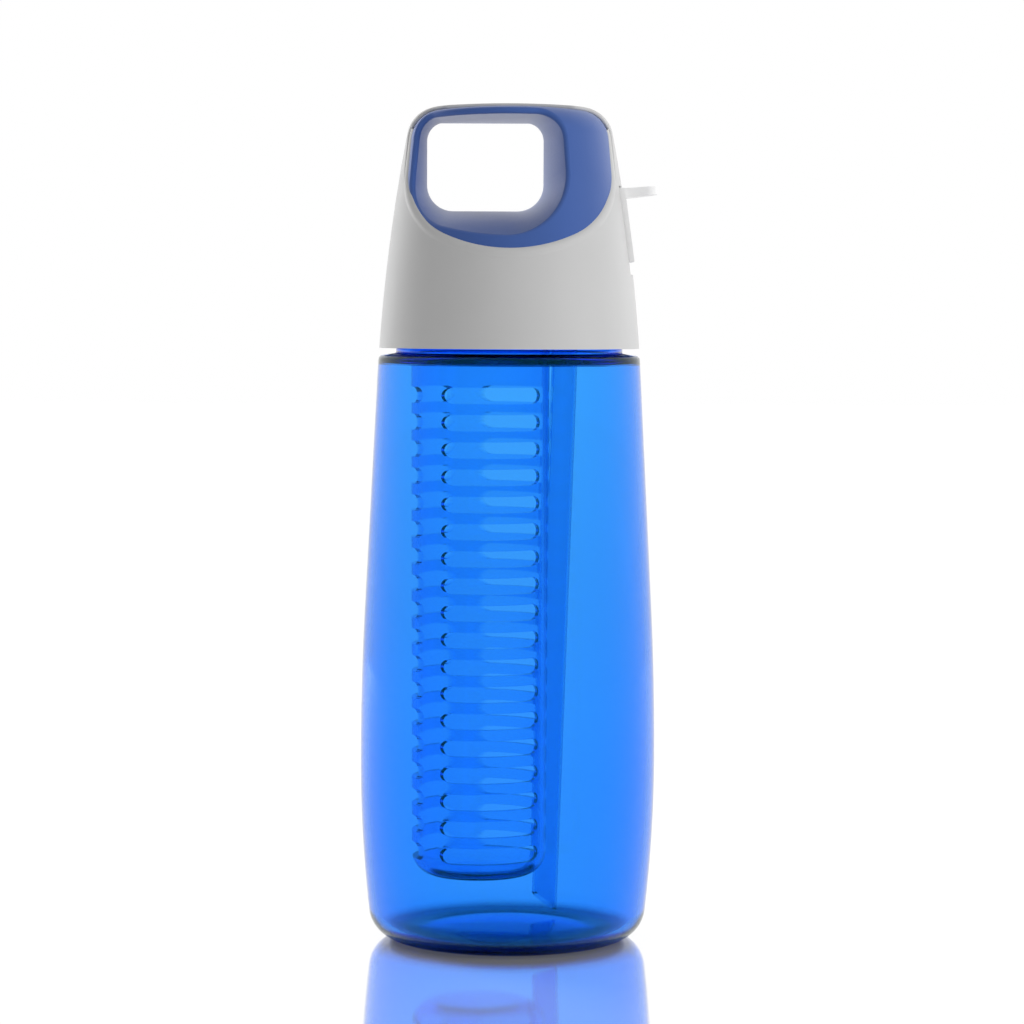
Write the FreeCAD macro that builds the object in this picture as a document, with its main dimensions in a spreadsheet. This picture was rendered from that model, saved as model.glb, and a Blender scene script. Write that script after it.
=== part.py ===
import FreeCAD, Part
import math
import os
import re

import Sketcher

# Fruit infuser water bottle: a clear bottle, a screw lid with a finger loop and a flip spout,
# and an infuser basket and a straw that hang from the lid.
# Frame: millimetres, +Z up, origin at the middle of the base on the surface that the bottle
# stands on. The front is -Y and the spout is on +X.

DIMENSIONS = {
    # Bottle
    "punt_height": 2.4,
    "base_thickness": 2.6,
    "foot_inner_radius": 26.0,
    "heel_fillet": 9.0,
    "lower_sweep": 383.0,
    "belly_radius": 42.4,
    "belly_height": 52.0,
    "taper_start": 95.0,
    "shoulder_radius": 37.5,
    "shoulder_height": 168.0,
    "shoulder_fillet": 1.6,
    "inner_shoulder_fillet": 0.8,
    "shoulder_rise": 0.7,
    "bottle_wall": 2.2,
    "bead_radius": 32.5,
    "bead_height": 1.7,
    "neck_bore": 28.7,
    "neck_wall": 1.8,
    "neck_height": 15.6,
    # Lid
    "lid_gap": 2.1,
    "lid_height": 69.5,
    "lid_radius": 37.3,
    "lid_sweep": 520.0,
    "lid_sweep_drop": 36.0,
    "lid_crown": 260.0,
    "lid_corner": 9.0,
    "shell_wall": 1.3,
    "shell_fit": 0.15,
    "window_half_width": 28.9,
    "window_top_half_width": 28.1,
    "window_height": 40.1,
    "window_top_corner": 8.5,
    "window_low_corner": 18.0,
    "window_sag_radius": 44.0,
    "window_lip": 0.2,
    "window_rim": 0.6,
    "pane_inset": 0.3,
    # Finger loop through the lid
    "handle_thickness": 4.9,
    "throat_left": 23.7,
    "throat_right": 9.6,
    "throat_height": 25.5,
    "throat_top_corner": 5.5,
    "throat_low_corner": 7.5,
    "mouth_distance": 40.0,
    "mouth_left_flare": 24.0,
    "mouth_right_flare": 14.4,
    "mouth_top_flare": 2.8,
    "mouth_low_flare": 10.6,
    "mouth_top_corner": 10.2,
    "mouth_low_corner": 26.0,
    "mouth_rim": 1.0,
    # Inner cap
    "gasket_thickness": 1.5,
    "plate_thickness": 2.5,
    "thread_room": 1.5,
    "cap_lift": 0.6,
    "relief_radius": 28.5,
    "relief_chord": 2.0,
    "relief_height": 6.5,
    # Infuser basket
    "basket_x": -8.2,
    "basket_y": -1.5,
    "basket_top_radius": 19.9,
    "basket_foot_radius": 19.3,
    "basket_wall": 1.7,
    "basket_fillet": 7.0,
    "basket_floor_gap": 13.5,
    "basket_turn": 14.0,
    "slot_columns": 3,
    "slot_count": 18,
    "slot_half_length": 11.3,
    "slot_half_height": 2.3,
    "slot_top_margin": 30.4,
    "slot_foot_margin": 7.7,
    "boss_clearance": 0.6,
    "boss_wall": 2.6,
    "boss_length": 11.5,
    "ring_section": 0.9,
    "ring_clearance": 0.15,
    # Straw and its elbow
    "straw_x": 17.2,
    "straw_radius": 3.75,
    "straw_bore": 3.0,
    "straw_side_lean": 1.8,
    "straw_back_lean": 3.9,
    "straw_floor_gap": 0.6,
    "straw_insert": 6.0,
    "straw_cut": 6.4,
    "elbow_radius": 5.0,
    "elbow_bore": 2.6,
    "elbow_cap": 5.0,
    "nozzle_radius": 3.0,
    "nozzle_bore": 2.0,
    "nozzle_reach": 8.3,
    # Flip spout
    "spout_level": 16.0,
    "mouthpiece_radius": 4.6,
    "mouthpiece_bore": 2.3,
    "mouthpiece_root": 6.6,
    "hinge_x": 30.6,
    "hinge_rise": 7.0,
    "pin_radius": 1.0,
    "pin_half_length": 9.0,
    "barrel_radius": 2.2,
    "cover_half_width": 7.5,
    "cover_height": 18.8,
    "cover_drop": 2.1,
    "cover_proud": 0.6,
    "cover_inset": 0.2,
    "tab_reach": 42.2,
    "tab_half_width": 5.5,
    "tab_root": 2.9,
    "tab_tip": 2.3,
    "tab_rise": 0.7,
    "tab_corner": 3.0,
    "plug_radius": 1.9,
    "plug_flange": 3.3,
    "plug_flange_thickness": 0.5,
    "plug_reach": 2.1,
    "plug_root": 1.2,
    # Vent valve in the middle of the basket's boss
    "valve_disc_radius": 5.0,
    "valve_disc_thickness": 1.0,
    "valve_stem_radius": 1.5,
    "valve_bulb_radius": 2.4,
    "valve_bulb_height": 2.2,
    # Rooms
    "seat_gap": 0.3,
    "pin_clearance": 0.08,
    "swing_gap": 0.5,
    "recess_floor": 1.3,
    "cut_over": 2.0,
    "edge_fillet": 0.5,
}

# Places that follow from the driving dimensions
PLACES = {
    "inner_floor": "punt_height + base_thickness",
    "neck_foot": "shoulder_height + shoulder_rise",
    "bead_top": "neck_foot + bead_height",
    "neck_radius": "neck_bore + neck_wall",
    "neck_top": "bead_top + neck_height",
    "lid_bottom": "shoulder_height + lid_gap",
    "lid_top": "lid_bottom + lid_height",
    "sweep_level": "lid_bottom - lid_sweep_drop",
    "sweep_x": "lid_radius - sqrt(lid_sweep ^ 2 - lid_sweep_drop ^ 2)",
    "plate_low": "neck_top + gasket_thickness",
    "plate_top": "plate_low + plate_thickness",
    "cap_bottom": "bead_top + cap_lift",
    "cap_bore": "neck_radius + thread_room",
    "inner_inset": "shell_wall + shell_fit",
    "window_inset": "shell_wall + window_lip",
    "window_low": "lid_top - window_inset - window_height",
    "throat_top": "lid_top - handle_thickness",
    "throat_low": "throat_top - throat_height",
    "basket_top": "plate_low - seat_gap",
    "basket_foot": "inner_floor + basket_floor_gap",
    "basket_bore": "basket_top_radius - basket_wall",
    "boss_radius": "basket_bore - boss_clearance",
    "ring_level": "plate_low - boss_length / 2",
    "ring_radius": "basket_bore - ring_clearance - ring_section",
    "slot_first": "basket_top - slot_top_margin",
    "slot_last": "basket_foot + slot_foot_margin",
    "slot_pitch": "(slot_first - slot_last) / (slot_count - 1)",
    "nozzle_z": "plate_top + spout_level",
    "straw_lean": "cos(straw_side_lean) * cos(straw_back_lean)",
    "straw_reach": "(nozzle_z - inner_floor - straw_floor_gap) / straw_lean",
    "straw_plate_x": "straw_x - spout_level * tan(straw_side_lean)",
    "straw_plate_y": "spout_level * tan(straw_back_lean)",
    "elbow_foot": "spout_level / straw_lean - swing_gap",
    "hinge_z": "plate_top + hinge_rise",
    "cover_low_z": "hinge_z - cover_drop",
    "cover_top_z": "hinge_z + cover_height",
    "cover_low_x": "cover_proud + sweep_x + sqrt(lid_sweep ^ 2 - (cover_low_z - sweep_level) ^ 2)",
    "cover_top_x": "cover_proud + sweep_x + sqrt(lid_sweep ^ 2 - (cover_top_z - sweep_level) ^ 2)",
    "cover_back_x": "hinge_x - cover_inset",
    "recess_low": "plate_top + recess_floor",
    "recess_top": "cover_top_z + swing_gap",
    "recess_half_width": "cover_half_width + swing_gap",
    "recess_back": "straw_x + mouthpiece_root - seat_gap",
    "mouthpiece_tip": "cover_back_x - plug_flange_thickness - seat_gap",
    "plug_level": "nozzle_z - hinge_z",
}

# Lengths and volumes closer than this count as equal
NEAR = 1e-3

doc = FreeCAD.newDocument("InfuserBottle")
sheet = doc.addObject("Spreadsheet::Sheet", "Dims")
for row, (alias, number) in enumerate(DIMENSIONS.items(), start=1):
    sheet.set(f"A{row}", str(number))
    sheet.setAlias(f"A{row}", alias)
doc.recompute()


def formula(text):
    """Writes a size in words as an expression on the sheet's cells."""
    def cell(match):
        word = match.group(0)
        if word in PLACES:
            return f"({formula(PLACES[word])})"
        return f"Dims.{word}" if word in DIMENSIONS else word
    return re.sub(r"[a-z][a-z_]+", cell, text)


def size(text):
    return float(sheet.evalExpression(formula(text)))


def bind(thing, name, text):
    thing.setExpression(name, formula(text))


def new_body(label, x="0", y="0", z="0", turn="0", side="0", back="0"):
    body = doc.addObject("PartDesign::Body", "Body_" + label)
    body.Label = label
    at = f"vector({formula(x)}; {formula(y)}; {formula(z)})"
    facing = f"rotation({formula(turn)}; {formula(side)}; {formula(back)})"
    body.setExpression("Placement", f"placement({at}; {facing})")
    return body


def origin_part(body, role):
    return next(part for part in body.Origin.OriginFeatures if part.Role == role)


def new_sketch(body, name, plane="XZ_Plane", lift=None, shift=None):
    """A sketch on one of the body's own planes, lifted along its normal and shifted along its first axis."""
    sketch = body.newObject("Sketcher::SketchObject", f"{name}_{body.Label}")
    sketch.AttachmentSupport = [(origin_part(body, plane), "")]
    sketch.MapMode = "FlatFace"
    if lift:
        bind(sketch, "AttachmentOffset.Base.z", lift)
    if shift:
        bind(sketch, "AttachmentOffset.Base.x", shift)
    return sketch


def hold(sketch, edge, point, x=None, y=None):
    """Holds one point of a sketch at sizes of the sheet. A ~ marks a first guess that is left free."""
    for kind, axis, text in (("DistanceX", -2, x), ("DistanceY", -1, y)):
        if text is None or text.startswith("~"):
            continue
        if text == "0":
            sketch.addConstraint(Sketcher.Constraint("PointOnObject", edge, point, axis))
            continue
        index = sketch.addConstraint(Sketcher.Constraint(kind, -1, 1, edge, point, size(text)))
        bind(sketch, f"Constraints[{index}]", text)


def hold_radius(sketch, edge, text):
    if not text.startswith("~"):
        index = sketch.addConstraint(Sketcher.Constraint("Radius", edge, size(text)))
        bind(sketch, f"Constraints[{index}]", text)


def arc(radius, turn=1, x=None, y=None):
    """An outline's round stretch: turn is 1 if it bends left and -1 if right. x and y hold its centre."""
    return radius, turn, x, y


def bent_edge(start, end, bend):
    radius = size(bend[0].lstrip("~"))
    turn = bend[1]
    half = (end - start) * 0.5
    rise = math.sqrt(max(radius ** 2 - half.Length ** 2, 0.0))
    left = FreeCAD.Vector(-half.y, half.x, 0).normalize()
    centre = start + half + left * rise * turn
    radius = (start - centre).Length
    spots = (start, end) if turn > 0 else (end, start)
    angles = [math.atan2(spot.y - centre.y, spot.x - centre.x) for spot in spots]
    circle = Part.Circle(centre, FreeCAD.Vector(0, 0, 1), radius)
    return Part.ArcOfCircle(circle, *angles)


def draw(sketch, corners, smooth=()):
    """Draws one closed outline. A corner is (x, y) or (x, y, bend), where bend shapes the edge after it.
    The corners listed in smooth are tangent."""
    spots = [FreeCAD.Vector(size(c[0].lstrip("~")), size(c[1].lstrip("~")), 0) for c in corners]
    edges = []
    for index, corner in enumerate(corners):
        start = spots[index]
        end = spots[(index + 1) % len(spots)]
        if len(corner) == 2:
            edges.append((sketch.addGeometry(Part.LineSegment(start, end)), 1, 2))
        else:
            ends = (1, 2) if corner[2][1] > 0 else (2, 1)
            edges.append((sketch.addGeometry(bent_edge(start, end, corner[2])), *ends))
    for index, corner in enumerate(corners):
        edge, first, _ = edges[index]
        before, _, last = edges[index - 1]
        kind = "Tangent" if index in smooth else "Coincident"
        sketch.addConstraint(Sketcher.Constraint(kind, before, last, edge, first))
        hold(sketch, edge, first, corner[0], corner[1])
        if len(corner) == 3:
            hold_radius(sketch, edge, corner[2][0])
            hold(sketch, edge, 3, corner[2][2], corner[2][3])
    return sketch


def draw_circle(sketch, x, y, radius):
    spot = FreeCAD.Vector(size(x), size(y), 0)
    edge = sketch.addGeometry(Part.Circle(spot, FreeCAD.Vector(0, 0, 1), size(radius)))
    hold(sketch, edge, 3, x, y)
    hold_radius(sketch, edge, radius)
    return sketch


def rectangle(sketch, left, right, low, high):
    return draw(sketch, [(left, low), (right, low), (right, high), (left, high)])


def settle(body, feature, removes=False, base=None):
    """Recomputes a new feature and checks that it changed the solid before it the way it should."""
    base = base or feature.BaseFeature
    before = base.Shape.Volume if base else 0.0
    doc.recompute()
    body.Tip = feature
    change = feature.Shape.Volume - before
    if (removes and change > -NEAR) or (not removes and change < NEAR):
        raise RuntimeError(f"{feature.Label} changed the volume by {change:.3f}")
    return feature


def spin(body, sketch, kind="Revolution", axis="V_Axis"):
    feature = body.newObject("PartDesign::" + kind, f"{kind}_{sketch.Name}")
    feature.Profile = sketch
    feature.ReferenceAxis = (sketch, [axis])
    feature.Angle = 360.0
    return settle(body, feature, removes=kind == "Groove")


def extrude(body, sketch, length=None, kind="Pad", midplane=False, flip=False):
    """Pads or pockets a sketch by a length, or right through with none."""
    feature = body.newObject("PartDesign::" + kind, f"{kind}_{sketch.Name}")
    feature.Profile = sketch
    feature.Midplane = midplane
    feature.Reversed = flip
    if length:
        bind(feature, "Length", length)
    else:
        feature.Type = "ThroughAll"
    return settle(body, feature, removes=kind == "Pocket")


def fillet(body, name, radius, edges):
    """Rounds the listed edges of the body's last feature."""
    base = body.Tip
    feature = body.newObject("PartDesign::Fillet", f"{name}_{body.Label}")
    feature.Base = (base, edges)
    bind(feature, "Radius", radius)
    doc.recompute()
    body.Tip = feature
    return feature


def circles(body):
    """Lists the height, the radius and the name of each circular edge of the body's last feature."""
    found = []
    for index, edge in enumerate(body.Tip.Shape.Edges, start=1):
        if not edge.Degenerated and isinstance(edge.Curve, Part.Circle):
            found.append((edge.Curve.Center.z, edge.Curve.Radius, f"Edge{index}"))
    return found


def rims(body, *places):
    """Names the circular edges nearest to each (height, radius)."""
    names = []
    for height, radius in places:
        level = [ring for ring in circles(body) if abs(ring[0] - size(height)) < NEAR]
        names.append(min(level, key=lambda ring: abs(ring[1] - size(radius)))[2])
    return names


def fresh_edges(body, before, keep):
    """Names the last feature's edges that its base lacks and that keep accepts at their middle."""
    old = [edge.CenterOfMass for edge in before.Edges]
    names = []
    for index, edge in enumerate(body.Tip.Shape.Edges, start=1):
        new = min((edge.CenterOfMass - spot).Length for spot in old) > NEAR
        if new and not edge.Degenerated and keep(edge):
            names.append(f"Edge{index}")
    return names


def bottle_body():
    """Clear bottle: the outside is turned from one outline and hollowed by a second one."""
    body = new_body("bottle_body")
    dome = arc("~(foot_inner_radius ^ 2 + punt_height ^ 2) / (2 * punt_height)", -1, "0")
    lower = arc("lower_sweep", 1, None, "belly_height")
    slope = "(belly_radius - shoulder_radius) / (shoulder_height - belly_height)"
    inner_lower = arc("lower_sweep - bottle_wall", 1, None, "belly_height")
    upper = arc(f"~(taper_start - belly_height) / ({slope})", 1, None, "belly_height")
    heel_x = "~belly_radius - belly_height ^ 2 / (2 * lower_sweep)"
    taper_x = f"~belly_radius - (taper_start - belly_height) * {slope} / 2"
    outside = new_sketch(body, "Outside")
    draw(outside, [
        ("0", "punt_height", dome),
        ("foot_inner_radius", "0"),
        (heel_x, "0", lower),
        ("belly_radius", "belly_height", upper),
        (taper_x, "taper_start"),
        ("shoulder_radius", "shoulder_height"),
        ("bead_radius", "neck_foot"),
        ("bead_radius", "bead_top"),
        ("neck_radius", "bead_top"),
        ("neck_radius", "neck_top"),
        ("0", "neck_top"),
    ], smooth=[4])
    spin(body, outside)
    inside = new_sketch(body, "Inside")
    draw(inside, [
        ("0", "inner_floor", dome),
        ("foot_inner_radius", "base_thickness"),
        (heel_x + " - bottle_wall", "base_thickness", inner_lower),
        ("belly_radius - bottle_wall", "belly_height", upper),
        (taper_x + " - bottle_wall", "taper_start"),
        ("shoulder_radius - bottle_wall", "shoulder_height - bottle_wall"),
        ("neck_bore", "neck_foot - bottle_wall"),
        ("neck_bore", "neck_top + cut_over"),
        ("0", "neck_top + cut_over"),
    ], smooth=[4])
    spin(body, inside, "Groove")
    fillet(body, "Heel", "heel_fillet", rims(body, ("0", "belly_radius")))
    fillet(body, "InnerHeel", "heel_fillet - bottle_wall", rims(body, ("base_thickness", "belly_radius")))
    fillet(body, "Shoulder", "shoulder_fillet", rims(body, ("shoulder_height", "shoulder_radius")))
    fillet(body, "InnerShoulder", "inner_shoulder_fillet", rims(
        body, ("shoulder_height - bottle_wall", "shoulder_radius - bottle_wall")))
    fillet(body, "Rims", "edge_fillet", rims(
        body, ("bead_top", "bead_radius"), ("neck_top", "neck_radius"), ("neck_top", "neck_bore"),
        ("neck_foot - bottle_wall", "neck_bore")))
    return body


def lid_bends(inset, turn):
    """The lid's form as corners with bends, set in by inset: a long sweep, a round corner and a crown."""
    sweep = arc(f"lid_sweep - {inset}", turn, "sweep_x", "sweep_level")
    corner = arc(f"lid_corner - {inset}", turn)
    crown = arc(f"lid_crown - {inset}", turn, "0")
    sweep_end = (f"~lid_radius - lid_corner - {inset}", f"~lid_top - lid_corner - {inset}")
    crown_end = ("~lid_radius - 2 * lid_corner", f"~lid_top - {inset}")
    return sweep, corner, crown, sweep_end, crown_end


def lid_outline(sketch, inset, low):
    """Half section of the lid's form."""
    sweep, corner, crown, sweep_end, crown_end = lid_bends(inset, 1)
    return draw(sketch, [
        ("0", low),
        (f"~lid_radius - {inset}", low, sweep),
        (*sweep_end, corner),
        (*crown_end, crown),
        ("0", f"lid_top - {inset}"),
    ], smooth=[2, 3])


def lid_surround(sketch, inset, low):
    """Half section of the space round the lid's form."""
    sweep, corner, crown, sweep_end, crown_end = lid_bends(inset, -1)
    return draw(sketch, [
        ("0", "lid_top + cut_over"),
        ("0", f"lid_top - {inset}", crown),
        (*crown_end, corner),
        (*sweep_end, sweep),
        (f"~lid_radius - {inset}", low),
        ("2 * lid_radius", low),
        ("2 * lid_radius", "lid_top + cut_over"),
    ], smooth=[2, 3])


def lid_solid(body, inset, low):
    return spin(body, lid_outline(new_sketch(body, "Form"), inset, low))


def window_outline(sketch, inset):
    """Lid window: a top that runs with the crown, sides that lean in and a sagging foot, all rounded."""
    crown = arc(f"lid_crown - window_inset - {inset}", 1, "0", "lid_top - lid_crown")
    top_x = "window_top_half_width - window_top_corner"
    low_x = "window_half_width - window_low_corner"
    top_radius = f"window_top_corner - {inset}"
    low_radius = f"window_low_corner - {inset}"
    sag = arc(f"window_sag_radius - {inset}", 1, "0", "window_low + window_sag_radius")
    sag_z = "~window_low + window_low_corner / 9"
    level = "~lid_top - window_inset"
    shoulder = "~lid_top - window_inset - window_top_corner"
    hip = "~window_low + window_low_corner"
    return draw(sketch, [
        (f"~-({low_x})", sag_z, sag),
        (f"~{low_x}", sag_z, arc(low_radius, 1, low_x)),
        ("~window_half_width", hip),
        ("~window_top_half_width", shoulder, arc(top_radius, 1, top_x)),
        (f"~{top_x}", level, crown),
        (f"~-({top_x})", level, arc(top_radius, 1, f"-({top_x})")),
        ("~-window_top_half_width", shoulder),
        ("~-window_half_width", hip, arc(low_radius, 1, f"-({low_x})")),
    ], smooth=range(8))


def lid_shell():
    """Grey outer lid: the lid's form, pierced by the windows, hollowed, with an opening for the cover."""
    body = new_body("lid_shell")
    solid = lid_solid(body, "0", "lid_bottom").Shape
    extrude(body, window_outline(new_sketch(body, "Window"), "0"), None, "Pocket", midplane=True)
    reach = size("window_half_width + edge_fillet / 2")
    rim = fresh_edges(body, solid, lambda edge: not isinstance(edge.Curve, Part.Line)
                      and abs(edge.CenterOfMass.x) < reach)
    fillet(body, "WindowRim", "window_rim", rim)
    spin(body, lid_outline(new_sketch(body, "Hollow"), "shell_wall", "lid_bottom - cut_over"), "Groove")
    spout = new_sketch(body, "SpoutWindow", "YZ_Plane")
    rectangle(spout, "-recess_half_width", "recess_half_width", "recess_low", "recess_top")
    extrude(body, spout, None, "Pocket", flip=True)
    return body


def loop_outline(sketch, left, right, low, high, top_corner, low_corner):
    """Rounded opening of the finger loop."""
    top = arc(top_corner)
    foot = arc(low_corner)
    return draw(sketch, [
        (f"~{left} + {low_corner}", low),
        (f"~{right} - {low_corner}", low, foot),
        (right, f"~{low} + {low_corner}"),
        (right, f"~{high} - {top_corner}", top),
        (f"~{right} - {top_corner}", high),
        (f"~{left} + {top_corner}", high, top),
        (left, f"~{high} - {top_corner}"),
        (left, f"~{low} + {low_corner}", foot),
    ], smooth=range(8))


def loop_core():
    """Blue inner moulding: the lid's form set in, with panes that fill the windows of the shell
    and a tunnel that flares like a trumpet from its middle to both faces."""
    body = new_body("loop_core")
    lid_solid(body, "inner_inset", "plate_top")
    pane = window_outline(new_sketch(body, "Pane"), "shell_fit")
    extrude(body, pane, "2 * lid_radius", midplane=True)
    form = spin(body, lid_surround(new_sketch(body, "Trim"), "pane_inset", "plate_top"), "Groove").Shape
    throat = loop_outline(
        new_sketch(body, "Throat"), "-throat_left", "throat_right", "throat_low", "throat_top",
        "throat_top_corner", "throat_low_corner")
    mouths = [loop_outline(
        new_sketch(body, name, lift=lift),
        "-(throat_left + mouth_left_flare)", "throat_right + mouth_right_flare",
        "throat_low - mouth_low_flare", "throat_top + mouth_top_flare",
        "mouth_top_corner", "mouth_low_corner",
    ) for name, lift in (("BackMouth", "-mouth_distance"), ("FrontMouth", "mouth_distance"))]
    tunnel = body.newObject("PartDesign::SubtractiveLoft", "Tunnel")
    tunnel.Profile = mouths[0]
    tunnel.Sections = [throat, mouths[1]]
    settle(body, tunnel, removes=True)
    face = size("throat_right")
    crease = fresh_edges(body, form, lambda edge: not isinstance(edge.Curve, Part.Line)
                         and abs(edge.CenterOfMass.y) > face)
    fillet(body, "MouthRim", "mouth_rim", crease)
    recess = new_sketch(body, "Recess", "YZ_Plane", "recess_back")
    rectangle(recess, "-recess_half_width", "recess_half_width", "recess_low", "recess_top")
    extrude(body, recess, None, "Pocket", flip=True)
    post = new_sketch(body, "Post", "XY_Plane", "plate_top")
    middle_x = "(straw_x + straw_plate_x) / 2"
    draw_circle(post, middle_x, "straw_plate_y / 2", "elbow_radius + swing_gap + seat_gap")
    extrude(body, post, "spout_level + elbow_cap + swing_gap", "Pocket", flip=True)
    nozzle = new_sketch(body, "Nozzle", "YZ_Plane", "straw_x")
    draw_circle(nozzle, "0", "nozzle_z", "nozzle_radius + swing_gap")
    extrude(body, nozzle, "recess_back - straw_x + cut_over", "Pocket", flip=True)
    pin = draw_circle(new_sketch(body, "Pin"), "hinge_x", "hinge_z", "pin_radius + pin_clearance")
    extrude(body, pin, "2 * (pin_half_length + seat_gap)", "Pocket", midplane=True)
    relief = new_sketch(body, "Relief", "XY_Plane", "plate_top")
    draw(relief, [
        ("-relief_chord", "~-relief_radius + relief_chord / 8"),
        ("-relief_chord", "~relief_radius - relief_chord / 8", arc("relief_radius", 1, "0", "0")),
    ])
    extrude(body, relief, "relief_height", "Pocket", flip=True)
    return body


def threaded_cap():
    """Inner lid: a skirt round the neck, a sealing plate and the boss that the basket hangs on."""
    body = new_body("threaded_cap")
    skirt = new_sketch(body, "Skirt")
    sweep = arc("lid_sweep - inner_inset", 1, "sweep_x", "sweep_level")
    draw(skirt, [
        ("0", "cap_bottom"),
        ("~lid_radius - inner_inset", "cap_bottom", sweep),
        ("~lid_radius - inner_inset", "plate_top"),
        ("0", "plate_top"),
    ])
    spin(body, skirt)
    bore = new_sketch(body, "Bore")
    rectangle(bore, "0", "cap_bore", "cap_bottom - cut_over", "plate_low")
    spin(body, bore, "Groove")
    boss = new_sketch(body, "Boss", "XY_Plane", "plate_low")
    draw_circle(boss, "basket_x", "basket_y", "boss_radius")
    draw_circle(boss, "basket_x", "basket_y", "boss_radius - boss_wall")
    extrude(body, boss, "boss_length", flip=True)
    groove = new_sketch(body, "RingGroove", lift="-basket_y", shift="basket_x")
    low = "ring_level - ring_section - ring_clearance"
    high = "ring_level + ring_section + ring_clearance"
    rectangle(groove, "ring_radius - ring_section", "boss_radius + cut_over", low, high)
    spin(body, groove, "Groove")
    holes = new_sketch(body, "Holes", "XY_Plane", "plate_top")
    draw_circle(holes, "straw_plate_x", "straw_plate_y", "straw_radius + swing_gap")
    draw_circle(holes, "basket_x", "basket_y", "valve_stem_radius + pin_clearance")
    extrude(body, holes, "plate_thickness + cut_over", "Pocket")
    return body


def neck_gasket():
    """Flat soft ring between the neck's rim and the cap's plate."""
    body = new_body("neck_gasket")
    section = new_sketch(body, "Section")
    rectangle(section, "neck_bore + seat_gap", "cap_bore - seat_gap", "neck_top", "plate_low")
    spin(body, section)
    return body


def basket_o_ring():
    body = new_body("basket_o_ring", "basket_x", "basket_y")
    spin(body, draw_circle(new_sketch(body, "Section"), "ring_radius", "ring_level", "ring_section"))
    return body


def vent_valve():
    """Mushroom valve: a soft disc under the plate, a stem through it and a bulb that holds it."""
    body = new_body("vent_valve", "basket_x", "basket_y")
    section = new_sketch(body, "Section")
    draw(section, [
        ("0", "plate_low - valve_disc_thickness"),
        ("valve_disc_radius", "plate_low - valve_disc_thickness / 2"),
        ("valve_disc_radius", "plate_low"),
        ("valve_stem_radius", "plate_low"),
        ("valve_stem_radius", "plate_top"),
        ("valve_bulb_radius", "plate_top"),
        ("valve_stem_radius", "plate_top + valve_bulb_height"),
        ("0", "plate_top + valve_bulb_height"),
    ])
    spin(body, section)
    return body


def infuser_basket():
    """Tapered cup with a closed rounded foot and columns of level slots."""
    body = new_body("infuser_basket", "basket_x", "basket_y", "0", "basket_turn")
    section = new_sketch(body, "Section")
    draw(section, [
        ("0", "basket_foot"),
        ("basket_foot_radius", "basket_foot"),
        ("basket_top_radius", "basket_top"),
        ("basket_bore", "basket_top"),
        ("basket_foot_radius - basket_wall", "basket_foot + basket_wall"),
        ("0", "basket_foot + basket_wall"),
    ])
    spin(body, section)
    fillet(body, "Foot", "basket_fillet", rims(body, ("basket_foot", "basket_foot_radius")))
    fillet(body, "InnerFoot", "basket_fillet - basket_wall", rims(
        body, ("basket_foot + basket_wall", "basket_foot_radius - basket_wall")))
    slots = new_sketch(body, "Slots")
    for index in range(int(size("slot_count"))):
        level = f"slot_first - slot_pitch * {index}"
        low = f"~{level} - slot_half_height"
        high = f"~{level} + slot_half_height"
        draw(slots, [
            ("-slot_half_length", low),
            ("slot_half_length", low, arc("slot_half_height", 1, "slot_half_length", level)),
            ("slot_half_length", high),
            ("-slot_half_length", high, arc("slot_half_height", 1, "-slot_half_length", level)),
        ])
    column = extrude(body, slots, "basket_top_radius + cut_over", "Pocket", flip=True)
    columns = body.newObject("PartDesign::PolarPattern", "SlotColumns")
    columns.Originals = [column]
    columns.Axis = (origin_part(body, "Z_Axis"), [""])
    columns.Angle = 360.0
    bind(columns, "Occurrences", "slot_columns")
    settle(body, columns, removes=True, base=column)
    return body


def straw_body(label):
    """A body whose Z axis is the leaning straw's, with its origin at the spout's level."""
    return new_body(label, "straw_x", "0", "nozzle_z", "0", "straw_side_lean", "straw_back_lean")


def straw():
    """Drinking tube with a slanted foot."""
    body = straw_body("straw")
    section = new_sketch(body, "Section", "XY_Plane", "-straw_reach")
    draw_circle(section, "0", "0", "straw_radius")
    draw_circle(section, "0", "0", "straw_bore")
    extrude(body, section, "straw_reach - elbow_foot + straw_insert")
    foot = new_sketch(body, "SlantedFoot")
    draw(foot, [
        ("-straw_radius - cut_over", "-straw_reach - cut_over"),
        ("straw_radius", "-straw_reach"),
        ("-straw_radius - cut_over", "-straw_reach + straw_cut"),
    ])
    extrude(body, foot, "2 * straw_radius + cut_over", "Pocket", midplane=True)
    return body


def straw_elbow():
    """Post that takes the straw from below, with a nozzle towards the spout."""
    body = straw_body("straw_elbow")
    post = draw_circle(new_sketch(body, "Post", "XY_Plane", "-elbow_foot"), "0", "0", "elbow_radius")
    extrude(body, post, "elbow_foot + elbow_cap")
    fillet(body, "Top", "elbow_cap / 2", rims(body, ("elbow_cap", "elbow_radius")))
    nozzle = draw_circle(new_sketch(body, "Nozzle", "YZ_Plane"), "0", "0", "nozzle_radius")
    extrude(body, nozzle, "nozzle_reach")
    socket = draw_circle(
        new_sketch(body, "Socket", "XY_Plane", "-elbow_foot"), "0", "0", "straw_radius + pin_clearance")
    extrude(body, socket, "straw_insert + seat_gap", "Pocket", flip=True)
    riser = draw_circle(new_sketch(body, "Riser", "XY_Plane", "-elbow_foot"), "0", "0", "elbow_bore")
    extrude(body, riser, "elbow_foot + nozzle_bore", "Pocket", flip=True)
    outlet = draw_circle(new_sketch(body, "Outlet", "YZ_Plane"), "0", "0", "nozzle_bore")
    extrude(body, outlet, "nozzle_reach + cut_over", "Pocket", flip=True)
    return body


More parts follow.
